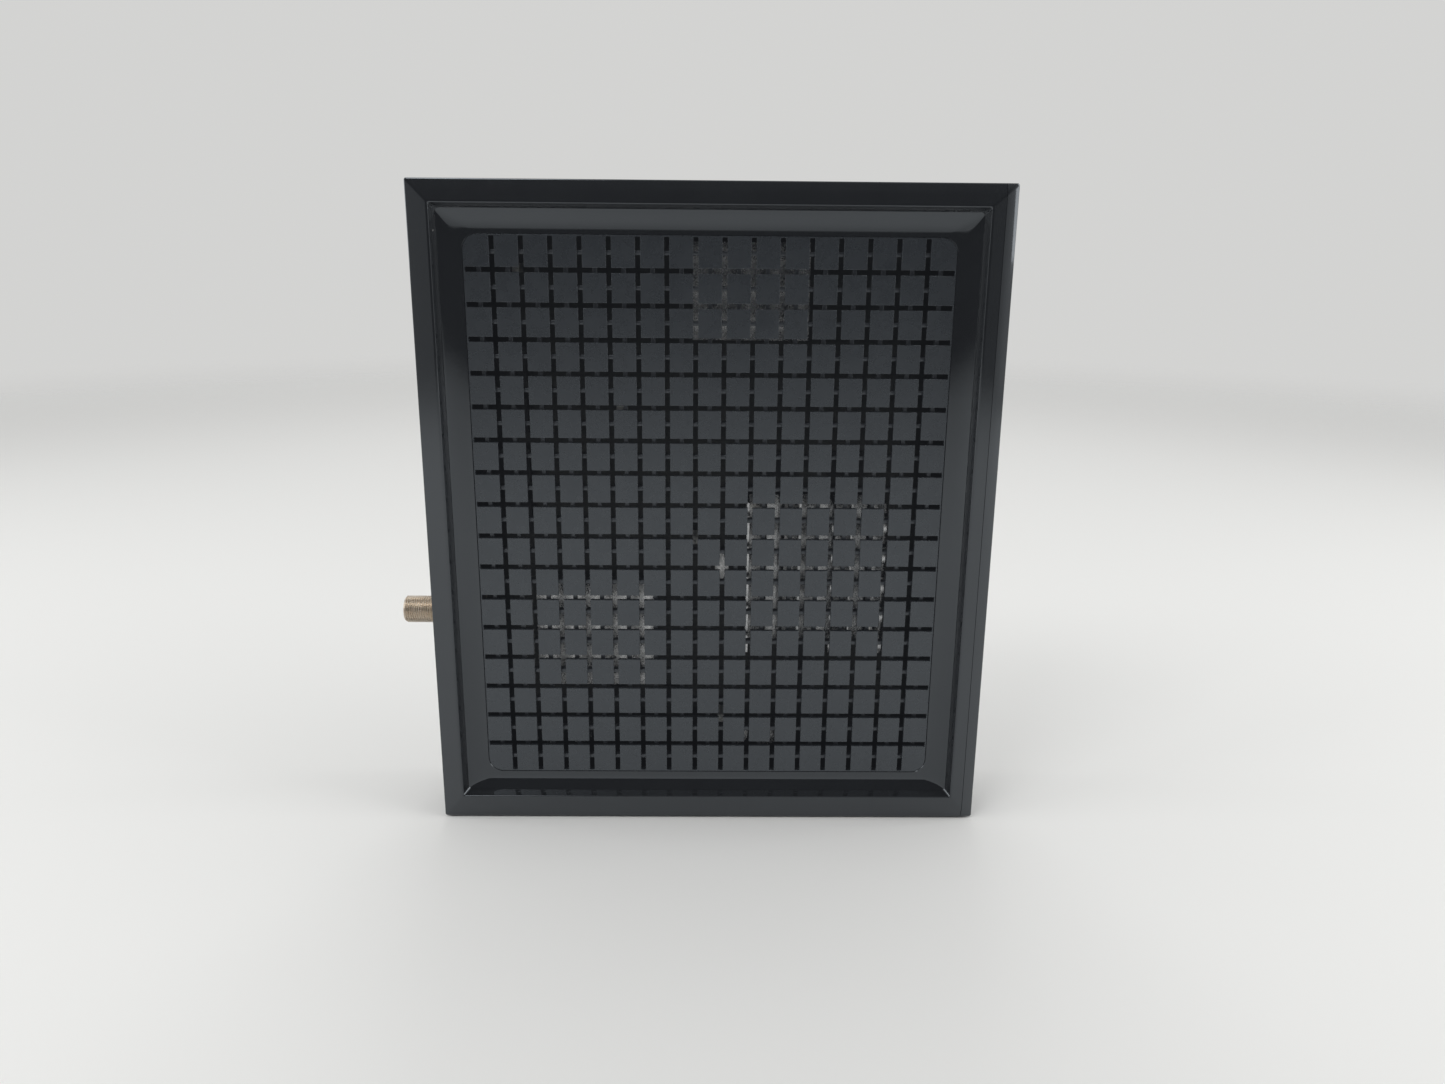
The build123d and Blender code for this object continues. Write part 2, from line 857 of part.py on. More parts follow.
def crystal_can():
    """The processor's timing crystal, in a long can with round ends."""
    width, height, depth = crystal
    x = sink_across - sink_width / 2 - crystal_gap
    z = case_bottom + sink_up
    shape = outline(x - width / 2, x + width / 2, z - height / 2, z + height / 2, crystal_corner)
    return slab(shape, board_front - depth, board_front)


def board_screws():
    """The screws that hold the board to the rear shell."""
    screws = []
    for x, z in board_screw_places():
        head = rod_y(board_front - board_screw_head_height, board_front, x, z, board_screw_head)
        screws.append(head + rod_y(board_front, board_back + board_screw_bite, x, z, board_screw_radius))
    return Compound(screws)


def case_screws():
    """The four long screws that join the shells from the rear."""
    screws = []
    seat = half_depth - case_screw_recess
    for x, z in case_screw_places():
        head = rod_y(seat, seat + case_screw_head_height, x, z, case_screw_head)
        screws.append(head + rod_y(seam_depth - case_screw_bite, seat, x, z, case_screw_radius))
    return Compound(screws)


def rubber_feet():
    """Three rubber feet under the base: one at the middle and one towards each end."""
    feet = []
    for middle in foot_places():
        pad = block(middle - foot_length / 2, middle + foot_length / 2, -foot_width / 2, foot_width / 2,
                    0, foot_thickness)
        feet.append(fillet(pad.edges().filter_by(Axis.Z), foot_corner))
    return Compound(feet)


def rating_label():
    """A blank label under the base, between the middle foot and the lamp end's foot."""
    margin = foot_length / 2 + label_end_gap
    return block(foot_places()[1] + margin, foot_places()[2] - margin, -label_width / 2, label_width / 2,
                 case_bottom - label_thickness, case_bottom)


front_grille = grille()
parts = {
    "front_cover": front_cover(),
    "rear_cover": rear_cover(),
    "vent_grille": front_grille,
    "rear_grille": mirror(front_grille, Plane.XZ),
    "end_fascia": end_fascia(),
    "light_pipe": light_pipe(),
    "status_lamps": status_lamps(),
    "standby_button": standby_button(),
    "standby_switch": standby_switch(),
    "reset_button": reset_button(),
    "reset_switch": reset_switch(),
    "coax_barrel": coax_barrel(),
    "coax_insulator": coax_insulator(),
    "coax_contact": coax_contact(),
    "coax_washer": coax_washer(),
    "coax_nut": coax_nut(),
    "network_contacts": network_contacts(),
    "line_transformers": line_transformers(),
    "power_jack": power_jack(),
    "power_jack_pin": power_jack_pin(),
    "main_board": main_board(),
    "tuner_shield_can": tuner_shield_can(),
    "radio_shield_can": radio_shield_can(),
    "processor_chip": processor_chip(),
    "thermal_pad": thermal_pad(),
    "heat_sink": heat_sink(),
    "heat_sink_pins": heat_sink_pins(),
    "memory_chips": memory_chips(),
    "flash_chip": flash_chip(),
    "regulator_chips": regulator_chips(),
    "power_inductors": power_inductors(),
    "filter_capacitors": filter_capacitors(),
    "crystal_can": crystal_can(),
    "board_screws": board_screws(),
    "case_screws": case_screws(),
    "rubber_feet": rubber_feet(),
    "rating_label": rating_label(),
}
for number in range(socket_count):
    parts[f"network_socket_{number + 1}"] = network_socket(number)

os.makedirs("parts", exist_ok=True)
for name, solid in parts.items():
    export_step(solid, f"parts/{name}.step")
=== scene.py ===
import json
import math

import bmesh
import bpy
from mathutils import Euler, Matrix, Vector


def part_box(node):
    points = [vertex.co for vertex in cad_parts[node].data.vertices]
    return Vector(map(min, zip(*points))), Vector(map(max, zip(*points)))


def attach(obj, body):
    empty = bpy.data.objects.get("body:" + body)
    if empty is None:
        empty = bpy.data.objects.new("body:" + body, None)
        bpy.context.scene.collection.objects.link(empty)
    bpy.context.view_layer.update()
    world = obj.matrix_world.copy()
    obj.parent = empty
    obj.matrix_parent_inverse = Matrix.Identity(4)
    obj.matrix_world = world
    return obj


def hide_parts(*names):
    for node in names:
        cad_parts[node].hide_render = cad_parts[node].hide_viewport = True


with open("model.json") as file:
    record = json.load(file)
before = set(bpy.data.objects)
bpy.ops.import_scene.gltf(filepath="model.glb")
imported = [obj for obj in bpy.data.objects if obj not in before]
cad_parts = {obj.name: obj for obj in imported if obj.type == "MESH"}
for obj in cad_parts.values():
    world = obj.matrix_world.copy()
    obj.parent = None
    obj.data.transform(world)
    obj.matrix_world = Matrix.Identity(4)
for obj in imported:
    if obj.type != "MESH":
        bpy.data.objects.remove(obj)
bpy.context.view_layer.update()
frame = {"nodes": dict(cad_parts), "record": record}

# Sizes are in metres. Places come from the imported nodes' boxes; what follows adds the shapes' details.
MM = 0.001
FIT = 0.1 * MM

# The grilles: tiles with slots between them, and ribs behind them in a flange
TILES = 17
SLOT = 1.6 * MM
SLOT_LAND = 0.5 * MM
TILE_DEEP = 1.35 * MM
TILE_INSET = 0.07 * MM
TILE_ROUND = 0.22 * MM
FIELD_CORNER = 5.0 * MM
RIB = 1.4 * MM
RIB_BACK = 3.4 * MM
RIB_INSET = 0.3 * MM
RIB_ROUND = 0.2 * MM
ROW_SETBACK = 0.95 * MM
COLUMN_SETBACK = 1.5 * MM
FLANGE = 2.0 * MM
FLANGE_INSET = 0.1 * MM

# The frame: a bevel from the rounded rim in to the ridge, then a step and a hollow down to the tiles.
# HOLLOW is the power of the hollow's curve.
BEVEL_DROP = 2.2 * MM
BEVEL_SHARES = (0.02, 0.25, 0.5, 0.75, 0.97, 1.0)
RIM_PROFILE = ((0, -0.40 * MM), (0.06 * MM, -0.12 * MM), (0.25 * MM, 0.02 * MM))
RIDGE_SIDE = 8.75 * MM
RIDGE_END = 9.1 * MM
RIDGE_BOTTOM_SHARE = 0.8
RIDGE_LAND = 0.5 * MM
RIDGE_EASE = 0.02 * MM
RIDGE_PROFILE = ((0.2 * MM, 0), (0.06 * MM, -0.03 * MM), (-0.12 * MM, -0.16 * MM))
STEP_DEPTH = 3.2 * MM
STEP_RUN = 1.5 * MM
STEP_CORNER = 1.2 * MM
STEP_SHARES = (0.06, 0.5, 0.84, 1.0)
TRAY = 5.0 * MM
HOLLOW = 2.2
HOLLOW_LOOPS = 14
HOLLOW_LAND = 0.15 * MM
LIP = 2.0 * MM
LIP_EDGE = 0.2 * MM

# The shells' walls and the seam between them
WALL = 2.0 * MM
CORNER = 0.7 * MM
CORNER_STEPS = 10
INNER_CORNER = 1.0 * MM
SEAM_GAP = 0.08 * MM
SEAM_EDGE = 0.15 * MM
SEAM_OVERRUN = 0.01 * MM
TONGUE = 1.0 * MM

# Openings: clearances round a node's box, radii of round holes, and the length of a foot's pocket
SOCKET_FIT = 0.3 * MM
PIPE_FIT = 0.2 * MM
BARREL_HOLE = 4.96 * MM
RESET_HOLE = 1.1 * MM
STEM_HOLE = 2.2 * MM
FOOT_LENGTH = 30.0 * MM

# The end strip, with its lamp windows' half sizes
STRIP_FACE = 2.0 * MM
STRIP_INSET = 3.0 * MM
STRIP_ROLL = 0.5 * MM
LAMPS = 5
WINDOW_HALF_DEPTH = 2.5 * MM
WINDOW_HALF_HEIGHT = 1.0 * MM
BUTTON_GUIDE = 6.2 * MM

# Screws and their bosses, as radii. A head's sides put no corner at 45 degrees, where its cross has some.
SCREW = 1.4 * MM
SCREW_HEAD = 2.9 * MM
SCREW_HEAD_TALL = 2.0 * MM
SCREW_SIDES = 44
SCREW_BOSS = 3.6 * MM
RECESS = 3.2 * MM
RECESS_DEEP = 4.0 * MM
CROSS_ARM = 1.75 * MM
CROSS_BLADE = 0.45 * MM
CROSS_DEEP = 1.3 * MM
BOARD_SCREW = 1.2 * MM
BOARD_SCREW_HEAD = 2.4 * MM
BOARD_BOSS = 2.8 * MM
BOSS_SIDES = 40

# The coaxial socket: radii across it and lengths along it. THREAD_FLAT is a share of the pitch.
THREAD = 4.7625 * MM
THREAD_PITCH = 25.4 / 32 * MM
THREAD_DEPTH = 0.46 * MM
THREAD_FLAT = 0.125
THREAD_FADE = 0.6 * MM
THREAD_SIDES = 72
STATIONS_PER_PITCH = 10
NOSE = 0.62 * MM
NOSE_SLOPE = 0.9
RELIEF = 4.4 * MM
RELIEF_GAP = 0.2 * MM
MOUTH = 3.35 * MM
MOUTH_DEEP = 0.15 * MM
BORE = 3.2 * MM
CONTACT_HOLE = 1.85 * MM
COAX_GAP = 0.05 * MM
NUT_HOLE = 4.46 * MM
NUT_MOUTH = 4.8 * MM
NUT_MOUTH_DEEP = 0.3 * MM
NUT_CHAMFER = 0.45 * MM
NUT_EASE = 0.1 * MM
NUT_SIDES = 96

# Wire headers: width, depth and height, and places in tiles across and down the field
HEADER = (2.2 * MM, 9.0 * MM, 3.0 * MM)
HEADER_PLACES = ((8.0, 9.1), (9.0, 15.1), (1.8, 0.95), (5.3, 5.0))
HEADER_PIN = 0.3 * MM
HEADER_PIN_TALL = 0.8 * MM
HEADER_ROUND = 0.15 * MM

CAMERA = Vector((-0.23, -365.4, 199.0)) * MM

# The main places, read from the frame
grille_low, grille_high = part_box("vent_grille")
cover_low, cover_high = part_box("front_cover")
strip_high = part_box("end_fascia")[1]
FIELD_LEFT = grille_low.x + FLANGE
FIELD_RIGHT = grille_high.x - FLANGE
FIELD_BOTTOM = grille_low.z + FLANGE
FIELD_TOP = grille_high.z - FLANGE
PITCH_X = (FIELD_RIGHT - FIELD_LEFT) / TILES
PITCH_Z = (FIELD_TOP - FIELD_BOTTOM) / TILES
HALF = -cover_low.y
RIM = HALF - BEVEL_DROP
TILE_FACE = HALF - TRAY
LIP_BACK = TILE_FACE - LIP
SEAM = cover_high.y
OUTER_LEFT = FIELD_LEFT - cover_low.x
OUTER_RIGHT = strip_high.x - FIELD_RIGHT
OUTER_BOTTOM = FIELD_BOTTOM - cover_low.z
OUTER_TOP = cover_high.z - FIELD_TOP
STRIP_SPLIT = cover_high.x
INNER_LEFT = OUTER_LEFT - WALL
INNER_RIGHT = STRIP_SPLIT - WALL - FIELD_RIGHT
INNER_BOTTOM = OUTER_BOTTOM - WALL
INNER_TOP = OUTER_TOP - WALL


# ---------------------------------------------------------------- materials

def new_material(name):
    """A material with only its Principled shader, and that shader."""
    material = bpy.data.materials.new(name)
    material.use_nodes = True
    return material, material.node_tree.nodes["Principled BSDF"]


def noise_of(material, scale, detail=4.0, roughness=0.55):
    """A noise texture in the object's own metres."""
    nodes, links = material.node_tree.nodes, material.node_tree.links
    place = nodes.new("ShaderNodeTexCoord")
    texture = nodes.new("ShaderNodeTexNoise")
    texture.inputs["Scale"].default_value = scale
    texture.inputs["Detail"].default_value = detail
    texture.inputs["Roughness"].default_value = roughness
    links.new(place.outputs["Object"], texture.inputs["Vector"])
    return texture.outputs["Fac"]


def ramp(material, source, stops):
    """A colour ramp over a texture, from (position, colour) stops."""
    node = material.node_tree.nodes.new("ShaderNodeValToRGB")
    elements = node.color_ramp.elements
    for element, (place, colour) in zip(elements, stops[:2]):
        element.position = place
        element.color = (*colour, 1)
    for place, colour in stops[2:]:
        elements.new(place).color = (*colour, 1)
    material.node_tree.links.new(source, node.inputs["Fac"])
    return node.outputs["Color"]


def grey(value):
    return (value, value, value)


def bump(material, shader, source, strength, distance):
    """Relief from a texture, laid over what the shader's normal already has."""
    nodes, links = material.node_tree.nodes, material.node_tree.links
    node = nodes.new("ShaderNodeBump")
    node.inputs["Strength"].default_value = strength
    node.inputs["Distance"].default_value = distance
    if shader.inputs["Normal"].links:
        links.new(shader.inputs["Normal"].links[0].from_socket, node.inputs["Normal"])
    links.new(source, node.inputs["Height"])
    links.new(node.outputs["Normal"], shader.inputs["Normal"])


def plastic(name, dark, light, rough_low, rough_high, grain_scale, grain_bump, specular=0.5):
    """Moulded plastic: slow colour drift, uneven gloss and a fine moulded grain."""
    material, shader = new_material(name)
    links = material.node_tree.links
    drift = noise_of(material, 60.0)
    links.new(ramp(material, drift, [(0.3, dark), (0.7, light)]), shader.inputs["Base Color"])
    smears = noise_of(material, 210.0, 6.0, 0.6)
    links.new(ramp(material, smears, [(0.3, grey(rough_low)), (0.75, grey(rough_high))]),
              shader.inputs["Roughness"])
    shader.inputs["Specular IOR Level"].default_value = specular
    # Painted light: a cool tint on every plastic's reflections, standing in for a cool cast of the light.
    shader.inputs["Specular Tint"].default_value = (0.86, 0.93, 1.0, 1)
    bump(material, shader, noise_of(material, grain_scale, 3.0), grain_bump, 0.04 * MM)
    return material


def metal(name, dark, light, rough_low, rough_high, grain_scale=900.0, grain_bump=0.15):
    """Plated or plain metal with faint tarnish and fine tool marks."""
    material, shader = new_material(name)
    links = material.node_tree.links
    links.new(ramp(material, noise_of(material, 260.0), [(0.3, dark), (0.7, light)]),
              shader.inputs["Base Color"])
    links.new(ramp(material, noise_of(material, 700.0), [(0.3, grey(rough_low)), (0.7, grey(rough_high))]),
              shader.inputs["Roughness"])
    shader.inputs["Metallic"].default_value = 1.0
    bump(material, shader, noise_of(material, grain_scale, 3.0), grain_bump, 0.03 * MM)
    return material


def glossy_case_material():
    """The case's polished black, with a few specks of dust."""
    material = plastic("gloss_black_case", (0.0075, 0.008, 0.009), (0.010, 0.011, 0.012),
                       0.04, 0.09, 1500.0, 0.03, 0.88)
    nodes, links = material.node_tree.nodes, material.node_tree.links
    shader = nodes["Principled BSDF"]
    colour = shader.inputs["Base Color"].links[0].from_socket
    specks = nodes.new("ShaderNodeTexVoronoi")
    specks.inputs["Scale"].default_value = 95.0
    links.new(nodes.new("ShaderNodeTexCoord").outputs["Object"], specks.inputs["Vector"])
    dots = ramp(material, specks.outputs["Distance"],
                [(0.0, grey(1.0)), (0.022, grey(1.0)), (0.034, grey(0.0))])
    patches = ramp(material, noise_of(material, 45.0, 2.0), [(0.50, grey(0.0)), (0.60, grey(1.0))])
    spots = nodes.new("ShaderNodeMath")
    spots.operation = "MULTIPLY"
    links.new(dots, spots.inputs[0])
    links.new(patches, spots.inputs[1])
    mix = nodes.new("ShaderNodeMix")
    mix.data_type = "RGBA"
    links.new(spots.outputs[0], mix.inputs["Factor"])
    links.new(colour, mix.inputs["A"])
    mix.inputs["B"].default_value = (0.22, 0.22, 0.21, 1)
    links.new(mix.outputs["Result"], shader.inputs["Base Color"])
    return material


def board_material():
    """Near-black solder mask with copper tracks showing through as straight lighter lines."""
    material, shader = new_material("board_mask")
    nodes, links = material.node_tree.nodes, material.node_tree.links
    tracks = nodes.new("ShaderNodeTexBrick")
    tracks.inputs["Scale"].default_value = 160.0
    tracks.inputs["Mortar Size"].default_value = 0.03
    tracks.inputs["Color1"].default_value = (0.009, 0.012, 0.012, 1)
    tracks.inputs["Color2"].default_value = (0.011, 0.015, 0.015, 1)
    tracks.inputs["Mortar"].default_value = (0.020, 0.030, 0.024, 1)
    turn = nodes.new("ShaderNodeMapping")
    turn.inputs["Rotation"].default_value = (math.pi / 2, 0, 0)
    links.new(nodes.new("ShaderNodeTexCoord").outputs["Object"], turn.inputs["Vector"])
    links.new(turn.outputs["Vector"], tracks.inputs["Vector"])
    links.new(tracks.outputs["Color"], shader.inputs["Base Color"])
    shader.inputs["Roughness"].default_value = 0.35
    bump(material, shader, noise_of(material, 800.0), 0.1, 0.03 * MM)
    return material


def clear_material():
    """The light pipe's frosted clear plastic."""
    material, shader = new_material("frosted_clear")
    links = material.node_tree.links
    drift = noise_of(material, 400.0)
    links.new(ramp(material, drift, [(0.3, (0.80, 0.84, 0.85)), (0.7, (0.88, 0.90, 0.90))]),
              shader.inputs["Base Color"])
    shader.inputs["Roughness"].default_value = 0.3
    shader.inputs["Transmission Weight"].default_value = 0.55
    shader.inputs["IOR"].default_value = 1.49
    bump(material, shader, noise_of(material, 1200.0), 0.2, 0.04 * MM)
    return material


gloss = glossy_case_material()
satin = plastic("satin_tiles", (0.015, 0.0175, 0.021), (0.019, 0.022, 0.026), 0.24, 0.32, 2600.0, 0.3, 0.9)
# The ribs get a lighter copy of the tiles' satin: painted light, for the light that the slots keep from
# them. The flange round them shares it.
rib_satin_painted_light = plastic("rib_satin_painted_light", (0.022, 0.024, 0.028), (0.028, 0.031, 0.036), 0.30, 0.42, 2300.0, 0.3, 0.8)
button_black = plastic("button_black", (0.016, 0.017, 0.019), (0.022, 0.023, 0.025), 0.16, 0.3, 1800.0, 0.08)
jack_black = plastic("jack_black", (0.018, 0.018, 0.019), (0.026, 0.026, 0.027), 0.35, 0.5, 1600.0, 0.25)
chip_black = plastic("chip_black", (0.022, 0.022, 0.024), (0.032, 0.032, 0.034), 0.45, 0.65, 2200.0, 0.4)
rubber = plastic("foot_rubber", (0.014, 0.014, 0.014), (0.024, 0.024, 0.024), 0.65, 0.85, 1400.0, 0.5, 0.3)
white_plug = plastic("insulator_white", (0.68, 0.67, 0.63), (0.76, 0.75, 0.71), 0.35, 0.5, 1500.0, 0.15)
lamp_white = plastic("lamp_body", (0.62, 0.62, 0.56), (0.75, 0.75, 0.70), 0.3, 0.45, 1500.0, 0.1)
label_film = plastic("label_film", (0.55, 0.55, 0.53), (0.62, 0.62, 0.60), 0.4, 0.55, 1800.0, 0.15)
pad_grey = plastic("pad_grey", (0.24, 0.26, 0.29), (0.30, 0.32, 0.35), 0.6, 0.8, 1500.0, 0.4)
nickel = metal("nickel_plate", (0.66, 0.57, 0.47), (0.74, 0.66, 0.56), 0.34, 0.42, 900.0, 0.03)
can_metal = metal("tinned_sheet", (0.60, 0.61, 0.62), (0.72, 0.73, 0.74), 0.20, 0.34)
aluminium = metal("anodised_aluminium", (0.44, 0.45, 0.46), (0.54, 0.55, 0.56), 0.20, 0.30)
steel = metal("zinc_steel", (0.28, 0.28, 0.29), (0.38, 0.38, 0.38), 0.28, 0.42)
gold = metal("contact_gold", (0.75, 0.52, 0.20), (0.86, 0.64, 0.28), 0.2, 0.32)
bright_pin = metal("bright_pin", (0.62, 0.62, 0.60), (0.72, 0.72, 0.70), 0.2, 0.3)
header_white = plastic("header_white", (0.80, 0.80, 0.78), (0.88, 0.88, 0.86), 0.3, 0.4, 1500.0, 0.1)
board_dark = board_material()
clear = clear_material()


# ---------------------------------------------------------------- mesh helpers

def add_object(name, bm, material, smooth_angle=35.0):
    """Turns a bmesh into an object, with sharp edges where its faces turn by more than the angle."""
    bmesh.ops.remove_doubles(bm, verts=bm.verts, dist=1e-7)
    bmesh.ops.recalc_face_normals(bm, faces=bm.faces)
    mesh = bpy.data.meshes.new(name)
    bm.to_mesh(mesh)
    bm.free()
    mesh.shade_smooth()
    mesh.set_sharp_from_angle(angle=math.radians(smooth_angle))
    piece = bpy.data.objects.new(name, mesh)
    bpy.context.scene.collection.objects.link(piece)
    if material:
        mesh.materials.append(material)
    return piece


def settle(piece, smooth_angle=35.0):
    """Turns a piece's modifiers into its mesh."""
    graph = bpy.context.evaluated_depsgraph_get()
    mesh = bpy.data.meshes.new_from_object(piece.evaluated_get(graph))
    piece.modifiers.clear()
    piece.data = mesh
    mesh.shade_smooth()
    mesh.set_sharp_from_angle(angle=math.radians(smooth_angle))


def cut_away(piece, cutter):
    """Takes the cutter's solid out of the piece."""
    tool = piece.modifiers.new("cut", "BOOLEAN")
    tool.operation = "DIFFERENCE"
    tool.solver = "EXACT"
    tool.use_self = True
    tool.object = cutter
    settle(piece)
    bpy.data.objects.remove(cutter)


def soften(piece, width):
    """Rounds the piece's sharp edges."""
    tool = piece.modifiers.new("soften", "BEVEL")
    tool.width = width
    tool.segments = 2
    tool.limit_method = "ANGLE"
    tool.angle_limit = math.radians(40)
    settle(piece, 30.0)


def level_normals(piece):
    """Lets the flat faces keep their own shading, so that only the rounded edges catch light."""
    tool = piece.modifiers.new("level", "WEIGHTED_NORMAL")
    tool.mode = "FACE_AREA"
    tool.weight = 100
    tool.keep_sharp = True
    graph = bpy.context.evaluated_depsgraph_get()
    mesh = bpy.data.meshes.new_from_object(piece.evaluated_get(graph))
    piece.modifiers.clear()
    piece.data = mesh


def rectangle_loop(left, right, bottom, top, radius, y):
    """Points round a rounded rectangle at depth y."""
    corners = ((right - radius, top - radius, 0), (left + radius, top - radius, 90),
               (left + radius, bottom + radius, 180), (right - radius, bottom + radius, 270))
    points = []
    for x, z, start in corners:
        for step in range(CORNER_STEPS + 1):
            angle = math.radians(start + 90 * step / CORNER_STEPS)
            points.append((x + radius * math.cos(angle), y, z + radius * math.sin(angle)))
    return points


def loft(bm, loops, closed=False):
    """Joins loops with the same number of points by bands of faces."""
    rows = [[bm.verts.new(point) for point in loop] for loop in loops]
    pairs = list(zip(rows, rows[1:]))
    if closed:
        pairs.append((rows[-1], rows[0]))
    for first, second in pairs:
        count = len(first)
        for index in range(count):
            after = (index + 1) % count
            bm.faces.new((first[index], first[after], second[after], second[index]))
    return rows


def add_box(bm, low, high):
    """A box between two corners."""
    result = bmesh.ops.create_cube(bm, size=1.0)
    low, high = Vector(low), Vector(high)
    for vert in result["verts"]:
        vert.co = (low + high) / 2 + Vector(a * b for a, b in zip(vert.co, high - low))
    return result["verts"]


def add_rod(bm, start, end, radius, segments=48):
    """A round bar between two points."""
    start, end = Vector(start), Vector(end)
    way = end - start
    turn = way.to_track_quat("Z", "Y").to_matrix().to_4x4()
    place = Matrix.Translation((start + end) / 2) @ turn
    bmesh.ops.create_cone(bm, cap_ends=True, segments=segments, radius1=radius, radius2=radius,
                          depth=way.length, matrix=place)


def ring_about_x(x, centre, radius_at, sides):
    """Points round a line along X, from Y towards Z. radius_at gives the radius at a share of a turn."""
    points = []
    for index in range(sides):
        angle = 2 * math.pi * index / sides
        radius = radius_at(index / sides)
        points.append((x, centre.y + radius * math.cos(angle), centre.z + radius * math.sin(angle)))
    return points


def turned_loops(x, z, profile, sides):
    """Circles about a line along Y, from (radius, y) points."""
    angles = [2 * math.pi * index / sides for index in range(sides)]
    return [[(x + radius * math.cos(angle), y, z + radius * math.sin(angle)) for angle in angles]
            for radius, y in profile]


def middle_of(node):
    """The middle of a node's box."""
    low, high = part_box(node)
    return (low + high) / 2


def corners_of(node, inset):
    """The four corners of a node's box, seen along Y and moved in."""
    low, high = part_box(node)
    return [(x, z) for x in (low.x + inset, high.x - inset) for z in (low.z + inset, high.z - inset)]


SLOT_OF = {part["node"]: part["material_slot"] for part in frame["record"]["subparts"]}
BODIES = frame["record"]["behaviour"]["bodies"]
BODY_OF = {node: body for body, nodes in BODIES.items() for node in nodes}


def finish_piece(piece, body, slot, *nodes):
    """Says what a piece rides on and hides the nodes that it stands for. The slot that it is given is not
    used.
    """
    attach(piece, body)
    if nodes:
        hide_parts(*nodes)


# ---------------------------------------------------------------- case

def frame_loop(side, end, radius, y, outer=False, inset=0.0):
    """A loop round the tile field: grown by side and end, or at the case's outside less an inset."""
    if outer:
        left, right, bottom, top = OUTER_LEFT, OUTER_RIGHT, OUTER_BOTTOM, OUTER_TOP
    else:
        left, right, bottom, top = side, side, end * RIDGE_BOTTOM_SHARE, end
    return rectangle_loop(FIELD_LEFT - left + inset, FIELD_RIGHT + right - inset,
                          FIELD_BOTTOM - bottom + inset, FIELD_TOP + top - inset, radius, y)


def between(first, second, share):
    """The loop a share of the way from one loop to another."""
    return [tuple(a + (b - a) * share for a, b in zip(p, q)) for p, q in zip(first, second)]


def band_loops(way):
    """The frame's outer bevel, from the rounded rim in to the ridge. way is -1 in front, 1 behind."""
    loops = [frame_loop(0, 0, CORNER, way * (RIM + rise), outer=True, inset=inset)
             for inset, rise in RIM_PROFILE]
    rim = loops[-1]
    ridge = frame_loop(RIDGE_SIDE + RIDGE_LAND, RIDGE_END + RIDGE_LAND, CORNER, way * (HALF - RIDGE_EASE))
    return loops + [between(rim, ridge, share) for share in BEVEL_SHARES]


def tray_loops(way):
    """From the ridge down the steep step and the gentle hollow to the grille's opening."""
    foot_side = RIDGE_SIDE - STEP_RUN
    foot_end = RIDGE_END - STEP_RUN
    loops = [frame_loop(RIDGE_SIDE + out, RIDGE_END + out, CORNER, way * (HALF + rise))
             for out, rise in RIDGE_PROFILE]
    step_top = loops[-1]
    step_foot = frame_loop(foot_side, foot_end, STEP_CORNER, way * (HALF - STEP_DEPTH))
    loops += [between(step_top, step_foot, share) for share in STEP_SHARES]
    drop = HALF - STEP_DEPTH - TILE_FACE
    for part in range(1, HOLLOW_LOOPS + 1):
        share = 1 - part / HOLLOW_LOOPS
        land = HOLLOW_LAND * (1 - share)
        radius = STEP_CORNER + (FIELD_CORNER - STEP_CORNER) * (1 - share)
        loops.append(frame_loop(foot_side * share + land, foot_end * share + land, radius,
                                way * (TILE_FACE + drop * share ** HOLLOW)))
    loops.append(frame_loop(0, 0, FIELD_CORNER, way * (TILE_FACE - LIP_EDGE)))
    loops.append(frame_loop(0, 0, FIELD_CORNER, way * LIP_BACK))
    return loops


def keep_side(bm, x, keep_left):
    """Cuts the mesh at x, keeps one side and closes it."""
    geometry = bm.verts[:] + bm.edges[:] + bm.faces[:]
    result = bmesh.ops.bisect_plane(bm, geom=geometry, plane_co=(x, 0, 0), plane_no=(1, 0, 0),
                                    clear_outer=keep_left, clear_inner=not keep_left)
    edges = [item for item in result["geom_cut"] if isinstance(item, bmesh.types.BMEdge)]
    bmesh.ops.edgeloop_fill(bm, edges=edges)


def shell(name, way):
    """One shell, cut off where the end strip begins. The front one's tongue crosses the seam."""
    bm = bmesh.new()
    seam_y = SEAM + way * SEAM_GAP
    tongue_y = SEAM + TONGUE if way < 0 else SEAM + TONGUE + SEAM_GAP
    step = WALL / 2 if way > 0 else WALL / 2 - SEAM_GAP
    inner = [rectangle_loop(FIELD_LEFT - INNER_LEFT - grow, FIELD_RIGHT + INNER_RIGHT + grow,
                            FIELD_BOTTOM - INNER_BOTTOM - grow, FIELD_TOP + INNER_TOP + grow,
                            INNER_CORNER, y)
             for y, grow in ((way * LIP_BACK, 0), (tongue_y, 0), (tongue_y, step), (seam_y, step))]
    seam = [frame_loop(0, 0, CORNER, seam_y, outer=True, inset=SEAM_EDGE),
            frame_loop(0, 0, CORNER, seam_y + way * SEAM_EDGE, outer=True)]
    loft(bm, seam + band_loops(way) + tray_loops(way) + inner, closed=True)
    keep_side(bm, STRIP_SPLIT - SEAM_GAP, keep_left=True)
    return add_object(name, bm, gloss)


def cutter_of(boxes, rods):
    """One cutter made of several boxes and round bars."""
    bm = bmesh.new()
    for low, high in boxes:
        add_box(bm, low, high)
    for start, end, radius in rods:
        add_rod(bm, start, end, radius)
    return add_object("cutter", bm, None)


def foot_pockets():
    """The pockets for the three feet, as boxes: one at each end of their row and one in the middle."""
    low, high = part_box("rubber_feet")
    half = FOOT_LENGTH / 2 + FIT
    middles = (low.x + FOOT_LENGTH / 2, 0, high.x - FOOT_LENGTH / 2)
    return [((middle - half, low.y - FIT, low.z - MM), (middle + half, high.y + FIT, high.z))
            for middle in middles]


